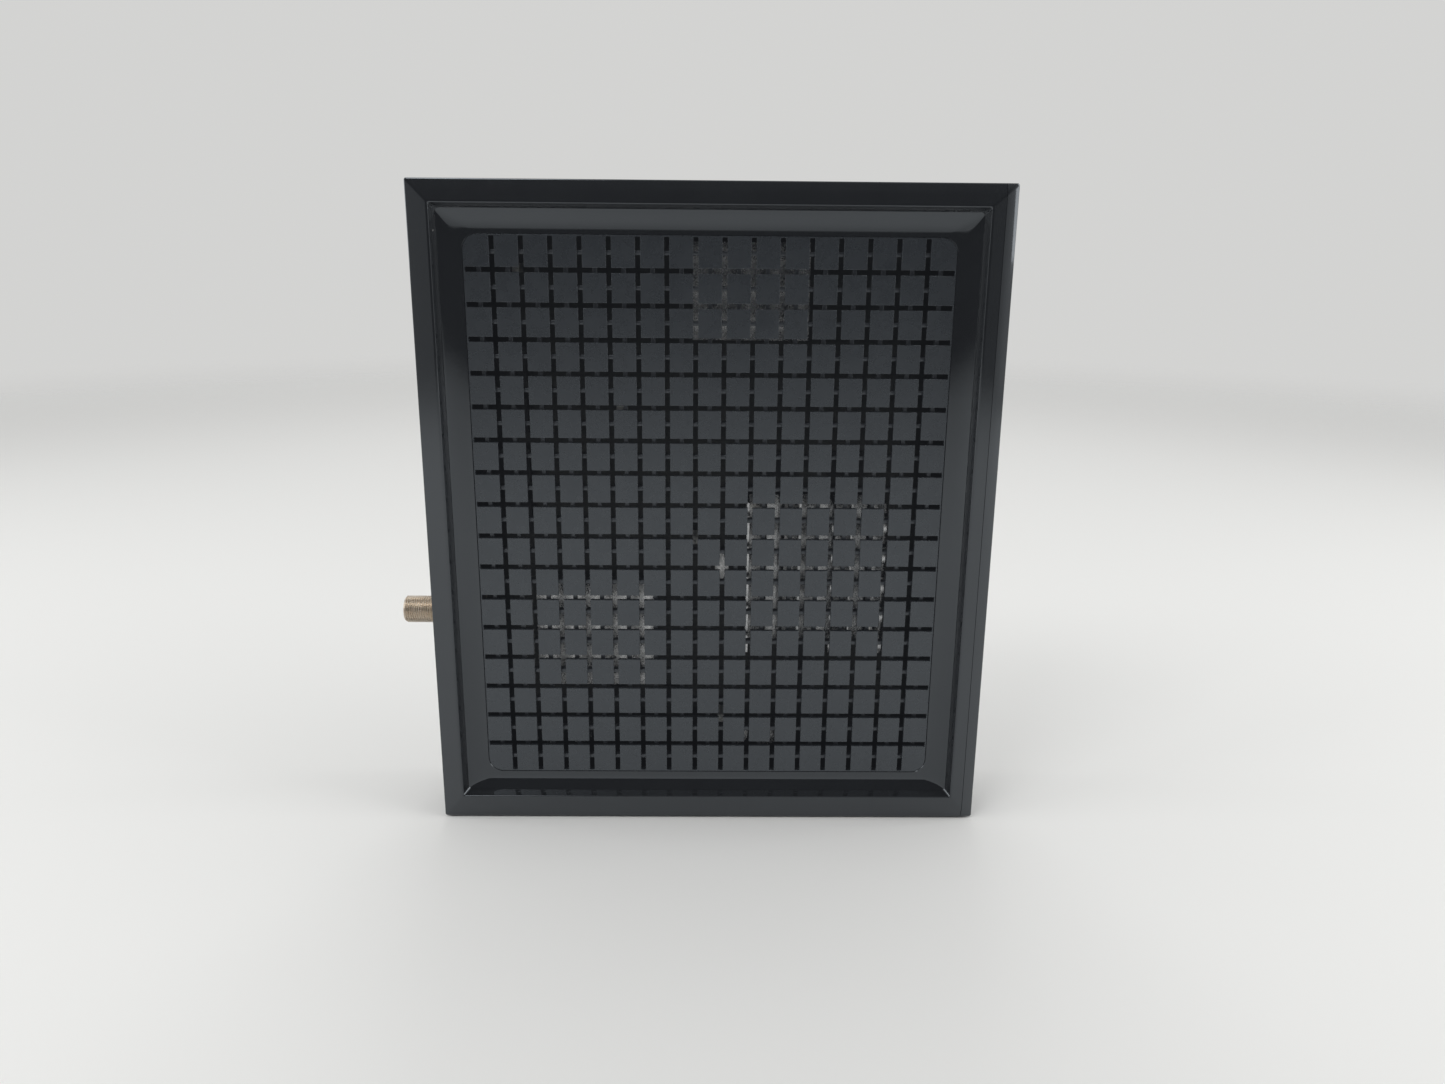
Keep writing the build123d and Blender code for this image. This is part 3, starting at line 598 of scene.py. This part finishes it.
def front_shell():
    """The front shell with the openings at both ends and the pockets for the feet."""
    piece = shell("front_shell", -1)
    left = (cover_low.x - MM, cover_low.x + WALL + MM)
    right = (STRIP_SPLIT - WALL - MM, STRIP_SPLIT + MM)
    openings = [("power_jack", SOCKET_FIT, left)]
    openings += [(f"network_socket_{number}", SOCKET_FIT, left) for number in range(1, 5)]
    openings.append(("light_pipe", PIPE_FIT, right))
    boxes = []
    for node, fit, (x0, x1) in openings:
        low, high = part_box(node)
        boxes.append(((x0, low.y - fit, low.z - fit), (x1, SEAM + SEAM_OVERRUN, high.z + fit)))
    rods = []
    holes = (("coax_contact", BARREL_HOLE, left), ("reset_button", RESET_HOLE, left),
             ("standby_button", STEM_HOLE, right))
    for node, radius, (x0, x1) in holes:
        middle = middle_of(node)
        rods.append(((x0, middle.y, middle.z), (x1, middle.y, middle.z), radius))
    cut_away(piece, cutter_of(boxes + foot_pockets(), rods))
    finish_piece(piece, "case", "gloss_black", "front_cover")


def rear_shell():
    """The rear shell with the recesses and holes for its screws."""
    piece = shell("rear_shell", 1)
    rods = []
    recess_floor = HALF - RECESS_DEEP
    for x, z in corners_of("case_screws", SCREW_HEAD):
        rods.append(((x, recess_floor, z), (x, HALF + MM, z), RECESS))
        rods.append(((x, LIP_BACK - MM, z), (x, recess_floor + MM, z), SCREW + FIT))
    screw_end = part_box("board_screws")[1].y
    for x, z in corners_of("board_screws", BOARD_SCREW_HEAD):
        rods.append(((x, LIP_BACK - MM, z), (x, screw_end + FIT, z), BOARD_SCREW + FIT))
    cut_away(piece, cutter_of([], rods))
    finish_piece(piece, "case", "gloss_black", "rear_cover")


def tube(bm, x, z, y0, y1, outer, hole):
    """A round boss about a line along Y, with a hole through it."""
    profile = ((outer, y0), (outer, y1), (hole, y1), (hole, y0))
    loft(bm, turned_loops(x, z, profile, BOSS_SIDES), closed=True)


def screw_bosses():
    """The bosses inside the shells round the case screws, and those that carry the board."""
    board_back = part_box("main_board")[1].y
    for name, way, node in (("front_bosses", -1, "front_cover"), ("rear_bosses", 1, "rear_cover")):
        bm = bmesh.new()
        for x, z in corners_of("case_screws", SCREW_HEAD):
            tube(bm, x, z, SEAM, way * LIP_BACK, SCREW_BOSS, SCREW + FIT)
        if way > 0:
            for x, z in corners_of("board_screws", BOARD_SCREW_HEAD):
                tube(bm, x, z, board_back, LIP_BACK, BOARD_BOSS, BOARD_SCREW + FIT)
        piece = add_object(name, bm, gloss)
        finish_piece(piece, "case", "gloss_black", node)


def end_strip():
    """The strip over the lamp end: hollow behind its face, rolled over, with windows and a hole."""
    bm = bmesh.new()
    loft(bm, list(reversed(band_loops(-1))) + band_loops(1))
    keep_side(bm, STRIP_SPLIT + SEAM_GAP, keep_left=False)
    width = strip_high.x - STRIP_SPLIT
    for vert in bm.verts:
        share = max(0.0, (vert.co.x - STRIP_SPLIT) / width)
        if abs(vert.co.y) > TILE_FACE:
            vert.co.y -= math.copysign(STRIP_ROLL * share ** 2, vert.co.y)
    piece = add_object("end_strip", bm, gloss)
    outside = strip_high.x + MM
    inside = strip_high.x - STRIP_FACE - MM
    boxes = [((STRIP_SPLIT - MM, STRIP_INSET - RIM, cover_low.z + STRIP_INSET),
              (strip_high.x - STRIP_FACE, RIM - STRIP_INSET, cover_high.z - STRIP_INSET))]
    low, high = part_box("status_lamps")
    pitch = (high.z - low.z - 2 * WINDOW_HALF_HEIGHT) / (LAMPS - 1)
    for number in range(LAMPS):
        z = low.z + WINDOW_HALF_HEIGHT + number * pitch
        boxes.append(((inside, -WINDOW_HALF_DEPTH, z - WINDOW_HALF_HEIGHT),
                      (outside, WINDOW_HALF_DEPTH, z + WINDOW_HALF_HEIGHT)))
    z = middle_of("standby_button").z
    cut_away(piece, cutter_of(boxes, [((inside, 0, z), (outside, 0, z), BUTTON_GUIDE)]))
    finish_piece(piece, "case", "gloss_black", "end_fascia")


# ---------------------------------------------------------------- grilles

def slot_cutter(way):
    """All the slots of one grille as crossing bars."""
    bm = bmesh.new()
    y0, y1 = sorted((way * (TILE_FACE + MM), way * (TILE_FACE - TILE_DEEP - MM)))
    for number in range(1, TILES):
        x = FIELD_LEFT + number * PITCH_X
        add_box(bm, (x - SLOT / 2, y0, FIELD_BOTTOM + SLOT_LAND), (x + SLOT / 2, y1, FIELD_TOP - SLOT_LAND))
        z = FIELD_BOTTOM + number * PITCH_Z
        add_box(bm, (FIELD_LEFT + SLOT_LAND, y0, z - SLOT / 2), (FIELD_RIGHT - SLOT_LAND, y1, z + SLOT / 2))
    return add_object("cutter", bm, None)


def tile_plate(name, way):
    """The tiles: a thin plate cut through by the slots, its front edges rounded."""
    bm = bmesh.new()
    rows = loft(bm, [rectangle_loop(FIELD_LEFT + TILE_INSET, FIELD_RIGHT - TILE_INSET,
                                    FIELD_BOTTOM + TILE_INSET, FIELD_TOP - TILE_INSET,
                                    FIELD_CORNER - TILE_INSET, way * y)
                     for y in (TILE_FACE, TILE_FACE - TILE_DEEP)])
    for row in rows:
        bm.faces.new(row)
    piece = add_object(name, bm, satin)
    cut_away(piece, slot_cutter(way))
    bm = bmesh.new()
    bm.from_mesh(piece.data)
    face_y = way * TILE_FACE
    front = [edge for edge in bm.edges if all(abs(vert.co.y - face_y) < 1e-6 for vert in edge.verts)
             and any(abs(face.normal.y) < 0.5 for face in edge.link_faces)]
    bmesh.ops.bevel(bm, geom=front, offset=TILE_ROUND, segments=2, profile=0.5, affect="EDGES",
                    clamp_overlap=True)
    bm.to_mesh(piece.data)
    bm.free()
    piece.data.shade_smooth()
    piece.data.set_sharp_from_angle(angle=math.radians(50))
    level_normals(piece)
    return piece


def add_rib(bm, way, x0, x1, z0, z1, setback):
    """One rib behind the tiles, its front edges rounded."""
    front = way * (TILE_FACE - setback)
    y0, y1 = sorted((front, way * (TILE_FACE - RIB_BACK)))
    verts = add_box(bm, (x0, y0, z0), (x1, y1, z1))
    edges = {edge for vert in verts for edge in vert.link_edges
             if all(abs(end.co.y - front) < 1e-7 for end in edge.verts)}
    bmesh.ops.bevel(bm, geom=list(edges), offset=RIB_ROUND, segments=2, profile=0.5, affect="EDGES")


def bridges(name, way):
    """The lattice of ribs that joins the tiles from behind, and the flange round it."""
    bm = bmesh.new()
    left = FIELD_LEFT + RIB_INSET
    right = FIELD_RIGHT - RIB_INSET
    bottom = FIELD_BOTTOM + RIB_INSET
    top = FIELD_TOP - RIB_INSET
    for number in range(TILES):
        x = FIELD_LEFT + (number + 0.5) * PITCH_X
        z = FIELD_BOTTOM + (number + 0.5) * PITCH_Z
        add_rib(bm, way, left, right, z - RIB / 2, z + RIB / 2, ROW_SETBACK)
        add_rib(bm, way, x - RIB / 2, x + RIB / 2, bottom, top, COLUMN_SETBACK)
    depths = (way * LIP_BACK, way * (TILE_FACE - RIB_BACK))
    outer = [rectangle_loop(grille_low.x, grille_high.x, grille_low.z, grille_high.z, FIELD_CORNER, y)
             for y in depths]
    inner = [rectangle_loop(FIELD_LEFT + FLANGE_INSET, FIELD_RIGHT - FLANGE_INSET,
                            FIELD_BOTTOM + FLANGE_INSET, FIELD_TOP - FLANGE_INSET, FIELD_CORNER, y)
             for y in depths]
    loft(bm, outer + inner[::-1], closed=True)
    # Ribs and flange take the lighter satin, with its painted light.
    return add_object(name, bm, rib_satin_painted_light)


def grille(prefix, way, node):
    """One grille: its tiles and the ribs behind them."""
    tiles = tile_plate(prefix + "_tiles", way)
    ribs = bridges(prefix + "_bridges", way)
    finish_piece(tiles, "case", "satin_black", node)
    finish_piece(ribs, "case", "satin_black", node)


# ---------------------------------------------------------------- coaxial socket

def thread_radius(turns):
    """Radius of the thread at a number of turns along it: flat at root and crest, sloping between."""
    share = turns % 1.0
    height = min(share, 1 - share)
    rise = (height - THREAD_FLAT / 2) / (0.5 - THREAD_FLAT)
    return THREAD - THREAD_DEPTH * (1 - min(1.0, max(0.0, rise)))


def barrel_radius(reach, turn, length):
    """The barrel's outside: a chamfered nose, then the thread, which fades into the relief behind it."""
    nose = THREAD - max(0.0, NOSE - reach) * NOSE_SLOPE
    fade = max(0.0, min(1.0, (length - reach) / THREAD_FADE))
    return min(nose, RELIEF + fade * (thread_radius(reach / THREAD_PITCH - turn) - RELIEF))


def coax_socket():
    """The threaded barrel with its eased mouth and stepped bore, and the block behind the wall."""
    low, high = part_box("coax_barrel")
    centre = middle_of("coax_contact")
    back = cover_low.x + WALL
    bore_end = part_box("coax_insulator")[1].x + COAX_GAP
    thread_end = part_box("coax_nut")[0].x - RELIEF_GAP
    length = thread_end - low.x
    stations = int(length / (THREAD_PITCH / STATIONS_PER_PITCH))

    def circles(profile):
        return [ring_about_x(x, centre, lambda turn: radius, THREAD_SIDES) for x, radius in profile]

    loops = circles(((back, CONTACT_HOLE), (bore_end, CONTACT_HOLE), (bore_end, BORE),
                     (low.x + MOUTH_DEEP, BORE), (low.x, MOUTH)))
    for index in range(stations + 1):
        reach = length * index / stations
        loops.append(ring_about_x(low.x + reach, centre, lambda turn: barrel_radius(reach, turn, length),
                                  THREAD_SIDES))
    loops += circles(((thread_end, RELIEF), (back, RELIEF)))
    bm = bmesh.new()
    loft(bm, loops, closed=True)
    piece = add_object("coax_threads", bm, nickel, 55.0)
    finish_piece(piece, "case", "nickel", "coax_barrel")
    bm = bmesh.new()
    add_box(bm, (back + COAX_GAP, low.y, low.z), high)
    block = add_object("coax_block", bm, nickel)
    hole = ((back - MM, centre.y, centre.z), (high.x + MM, centre.y, centre.z), CONTACT_HOLE)
    cut_away(block, cutter_of([], [hole]))
    finish_piece(block, "case", "nickel", "coax_barrel")


def hexagon_radius(turn, flats, limit):
    """Radius of a hexagon with level flats, its corners turned down to a limit."""
    from_flat = math.radians(turn * 360 % 60 - 30)
    return min(limit, flats / math.cos(from_flat))


def coax_nut():
    """The hexagonal nut, its corners turned off."""
    low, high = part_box("coax_nut")
    centre = middle_of("coax_contact")
    flats = (high.z - low.z) / 2
    corner = flats / math.cos(math.radians(30))
    outside = ((low.x, flats), (low.x + NUT_CHAMFER, corner), (high.x - NUT_EASE, corner),
               (high.x, corner - NUT_EASE))
    hole = ((high.x, NUT_HOLE), (low.x + NUT_MOUTH_DEEP, NUT_HOLE), (low.x, NUT_MOUTH))
    loops = [ring_about_x(x, centre, lambda turn: hexagon_radius(turn, flats, limit), NUT_SIDES)
             for x, limit in outside]
    loops += [ring_about_x(x, centre, lambda turn: radius, NUT_SIDES) for x, radius in hole]
    bm = bmesh.new()
    loft(bm, loops, closed=True)
    piece = add_object("hex_nut", bm, nickel, 25.0)
    finish_piece(piece, "case", "nickel", "coax_nut")


# ---------------------------------------------------------------- carried-over nodes

NODE_MATERIALS = {
    "light_pipe": clear, "status_lamps": lamp_white, "standby_button": button_black,
    "reset_button": button_black, "standby_switch": jack_black, "reset_switch": jack_black,
    "coax_washer": nickel, "coax_insulator": white_plug, "coax_contact": gold, "network_contacts": gold,
    "line_transformers": chip_black, "power_jack": jack_black, "power_jack_pin": bright_pin,
    "main_board": board_dark, "tuner_shield_can": can_metal, "radio_shield_can": can_metal,
    "crystal_can": can_metal, "processor_chip": chip_black, "memory_chips": chip_black,
    "flash_chip": chip_black, "regulator_chips": chip_black, "power_inductors": chip_black,
    "thermal_pad": pad_grey, "heat_sink": aluminium, "heat_sink_pins": bright_pin,
    "filter_capacitors": aluminium, "board_screws": steel, "rubber_feet": rubber,
    "rating_label": label_film,
    "network_socket_1": jack_black, "network_socket_2": jack_black, "network_socket_3": jack_black,
    "network_socket_4": jack_black,
}

# Nodes that keep their CAD shape but get rounded edges, with the rounding's width
EASED_NODES = {
    "network_socket_1": 0.25 * MM, "network_socket_2": 0.25 * MM, "network_socket_3": 0.25 * MM,
    "network_socket_4": 0.25 * MM, "power_jack": 0.3 * MM, "coax_washer": 0.15 * MM,
    "standby_button": 0.25 * MM, "rubber_feet": 0.3 * MM, "heat_sink": 0.2 * MM,
    "tuner_shield_can": 0.1 * MM, "radio_shield_can": 0.1 * MM,
}


def ease_edges(node, width):
    """Stands a copy of the node with rounded edges in its place."""
    bm = bmesh.new()
    bm.from_mesh(frame["nodes"][node].data)
    bmesh.ops.remove_doubles(bm, verts=bm.verts, dist=1e-7)
    bmesh.ops.dissolve_limit(bm, angle_limit=math.radians(2), verts=bm.verts, edges=bm.edges)
    piece = add_object(node + "_eased", bm, NODE_MATERIALS[node])
    soften(piece, width)
    level_normals(piece)
    finish_piece(piece, BODY_OF[node], SLOT_OF[node], node)


def case_screws():
    """The long screws at the rear corners: pan heads with a cross recess."""
    low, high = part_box("case_screws")
    seat = high.y - SCREW_HEAD_TALL
    profile = [(SCREW - 0.3 * MM, low.y), (SCREW, low.y + 0.6 * MM), (SCREW, seat),
               (SCREW_HEAD - 0.15 * MM, seat), (SCREW_HEAD, seat + 0.15 * MM),
               (SCREW_HEAD, seat + 0.8 * MM), (SCREW_HEAD - 0.2 * MM, seat + 1.35 * MM),
               (SCREW_HEAD - 0.7 * MM, seat + 1.75 * MM), (SCREW_HEAD - 1.6 * MM, seat + 1.97 * MM),
               (0.3 * MM, high.y)]
    quarter = ((CROSS_ARM, CROSS_BLADE), (CROSS_BLADE, CROSS_BLADE), (CROSS_BLADE, CROSS_ARM))
    cross = [(a * turn_x - b * turn_z, a * turn_z + b * turn_x)
             for turn_x, turn_z in ((1, 0), (0, 1), (-1, 0), (0, -1)) for a, b in quarter]
    bm = bmesh.new()
    crosses = bmesh.new()
    for x, z in corners_of("case_screws", SCREW_HEAD):
        screw = loft(bm, turned_loops(x, z, profile, SCREW_SIDES))
        bm.faces.new(screw[0])
        bm.faces.new(screw[-1])
        prism = loft(crosses, [[(x + a, y, z + b) for a, b in cross]
                               for y in (high.y - CROSS_DEEP, high.y + MM)])
        crosses.faces.new(prism[0])
        crosses.faces.new(prism[-1])
    piece = add_object("case_screws_turned", bm, steel)
    cut_away(piece, add_object("cutter", crosses, None))
    finish_piece(piece, "case", SLOT_OF["case_screws"], "case_screws")


def wire_headers():
    """Small white wire headers on the board, on the lines from the camera through chosen slots."""
    bm = bmesh.new()
    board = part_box("main_board")[0].y
    wide, deep, tall = HEADER
    face = board - deep
    for across, down in HEADER_PLACES:
        slot = Vector((FIELD_LEFT + across * PITCH_X, -TILE_FACE, FIELD_TOP - down * PITCH_Z))
        way = slot - CAMERA
        top = CAMERA + way * ((face - CAMERA.y) / way.y)
        add_box(bm, (top.x - wide / 2, face, top.z - tall / 2), (top.x + wide / 2, board, top.z + tall / 2))
        for side in (-0.25, 0.25):
            z = top.z + side * tall
            add_rod(bm, (top.x, face - HEADER_PIN_TALL, z), (top.x, face, z), HEADER_PIN, 16)
    piece = add_object("wire_headers", bm, header_white)
    soften(piece, HEADER_ROUND)
    finish_piece(piece, "case", "insulator_white")


def dress_nodes():
    """Gives the CAD nodes named above their finished materials."""
    for node, material in NODE_MATERIALS.items():
        for mesh_slot in frame["nodes"][node].material_slots:
            mesh_slot.material = material


# ---------------------------------------------------------------- studio

def floor():
    """A pale floor that fades into the background far from the object."""
    bm = bmesh.new()
    bmesh.ops.create_circle(bm, cap_ends=True, segments=96, radius=4.0)
    piece = add_object("studio_floor", bm, None)
    material, shader = new_material("floor_white")
    nodes, links = material.node_tree.nodes, material.node_tree.links
    shader.inputs["Base Color"].default_value = (0.84, 0.84, 0.83, 1)
    shader.inputs["Roughness"].default_value = 0.75
    shader.inputs["Specular IOR Level"].default_value = 0.2
    length = nodes.new("ShaderNodeVectorMath")
    length.operation = "LENGTH"
    links.new(nodes.new("ShaderNodeTexCoord").outputs["Object"], length.inputs[0])
    fade = nodes.new("ShaderNodeMapRange")
    fade.interpolation_type = "SMOOTHSTEP"
    fade.inputs["From Min"].default_value = 0.75
    fade.inputs["From Max"].default_value = 1.7
    fade.inputs["To Min"].default_value = 1.0
    fade.inputs["To Max"].default_value = 0.0
    links.new(length.outputs["Value"], fade.inputs["Value"])
    links.new(fade.outputs["Result"], shader.inputs["Alpha"])
    piece.data.materials.append(material)


def surroundings():
    """A pale tent that is darker in front and overhead for light and reflections, but pale behind."""
    world = bpy.data.worlds.new("tent")
    bpy.context.scene.world = world
    world.use_nodes = True
    nodes, links = world.node_tree.nodes, world.node_tree.links
    background = nodes["Background"]
    split = nodes.new("ShaderNodeSeparateXYZ")
    links.new(nodes.new("ShaderNodeTexCoord").outputs["Generated"], split.inputs[0])

    def spread(source, low, high):
        node = nodes.new("ShaderNodeMapRange")
        node.interpolation_type = "SMOOTHSTEP"
        node.inputs["From Min"].default_value = low
        node.inputs["From Max"].default_value = high
        links.new(source, node.inputs["Value"])
        return node.outputs["Result"]

    def times(first, second):
        node = nodes.new("ShaderNodeMath")
        node.operation = "MULTIPLY"
        links.new(first, node.inputs[0])
        links.new(second, node.inputs[1])
        return node.outputs[0]

    ahead = spread(split.outputs["Y"], -0.45, -0.8)
    above = spread(split.outputs["Z"], -0.17, -0.10)
    under = spread(split.outputs["Z"], 0.85, 0.60)
    overhead = spread(split.outputs["Z"], 0.90, 0.97)
    opening = nodes.new("ShaderNodeMath")
    opening.operation = "MAXIMUM"
    links.new(times(times(ahead, above), under), opening.inputs[0])
    links.new(overhead, opening.inputs[1])
    unseen = nodes.new("ShaderNodeMath")
    unseen.operation = "SUBTRACT"
    unseen.inputs[0].default_value = 1.0
    links.new(nodes.new("ShaderNodeLightPath").outputs["Is Camera Ray"], unseen.inputs[1])
    mix = nodes.new("ShaderNodeMix")
    mix.data_type = "RGBA"
    links.new(times(opening.outputs[0], unseen.outputs[0]), mix.inputs["Factor"])
    mix.inputs["A"].default_value = (0.65, 0.65, 0.64, 1)
    mix.inputs["B"].default_value = (0.045, 0.047, 0.05, 1)
    links.new(mix.outputs["Result"], background.inputs["Color"])


def soft_light(name, place, aim, size, power):
    """A square soft lamp that faces a point."""
    data = bpy.data.lights.new(name, "AREA")
    data.size = size
    data.energy = power
    lamp = bpy.data.objects.new(name, data)
    lamp.location = place
    lamp.rotation_mode = "QUATERNION"
    lamp.rotation_quaternion = (Vector(aim) - Vector(place)).to_track_quat("-Z", "Y")
    bpy.context.scene.collection.objects.link(lamp)


def camera():
    """A wide lens a little below the object's top, looking down."""
    data = bpy.data.cameras.new("camera")
    data.lens = 27.03
    data.sensor_width = 36.0
    data.clip_start = 0.01
    piece = bpy.data.objects.new("camera", data)
    piece.location = CAMERA
    piece.rotation_mode = "QUATERNION"
    down, aside, roll = math.radians(15.54), math.radians(0.68), math.radians(0.52)
    ahead = Vector((math.sin(aside) * math.cos(down), math.cos(aside) * math.cos(down), -math.sin(down)))
    piece.rotation_quaternion = ahead.to_track_quat("-Z", "Y") @ Euler((0, 0, roll)).to_quaternion()
    bpy.context.scene.collection.objects.link(piece)
    bpy.context.scene.camera = piece


front_shell()
rear_shell()
screw_bosses()
end_strip()
grille("front", -1, "vent_grille")
grille("rear", 1, "rear_grille")
coax_socket()
coax_nut()
dress_nodes()
for node, width in EASED_NODES.items():
    ease_edges(node, width)
case_screws()
wire_headers()
floor()
surroundings()
soft_light("top_lamp", (-0.34, -0.52, 0.95), (0, -0.02, 0.1), 0.34, 1.8)
soft_light("back_lamp", (0, 0.85, 0.95), (0, 0.25, 0), 0.6, 2.2)
soft_light("left_lamp", (-0.95, -0.15, 0.5), (0, 0.02, 0), 0.7, 3.6)
soft_light("right_lamp", (0.95, -0.15, 0.5), (0, 0.02, 0), 0.7, 4.4)
camera()

# The view lifts the blacks a little, as the photograph's are
view = bpy.context.scene.view_settings
view.view_transform = "Standard"
view.use_curve_mapping = True
view.curve_mapping.black_level = (-0.006, -0.0065, -0.0075)
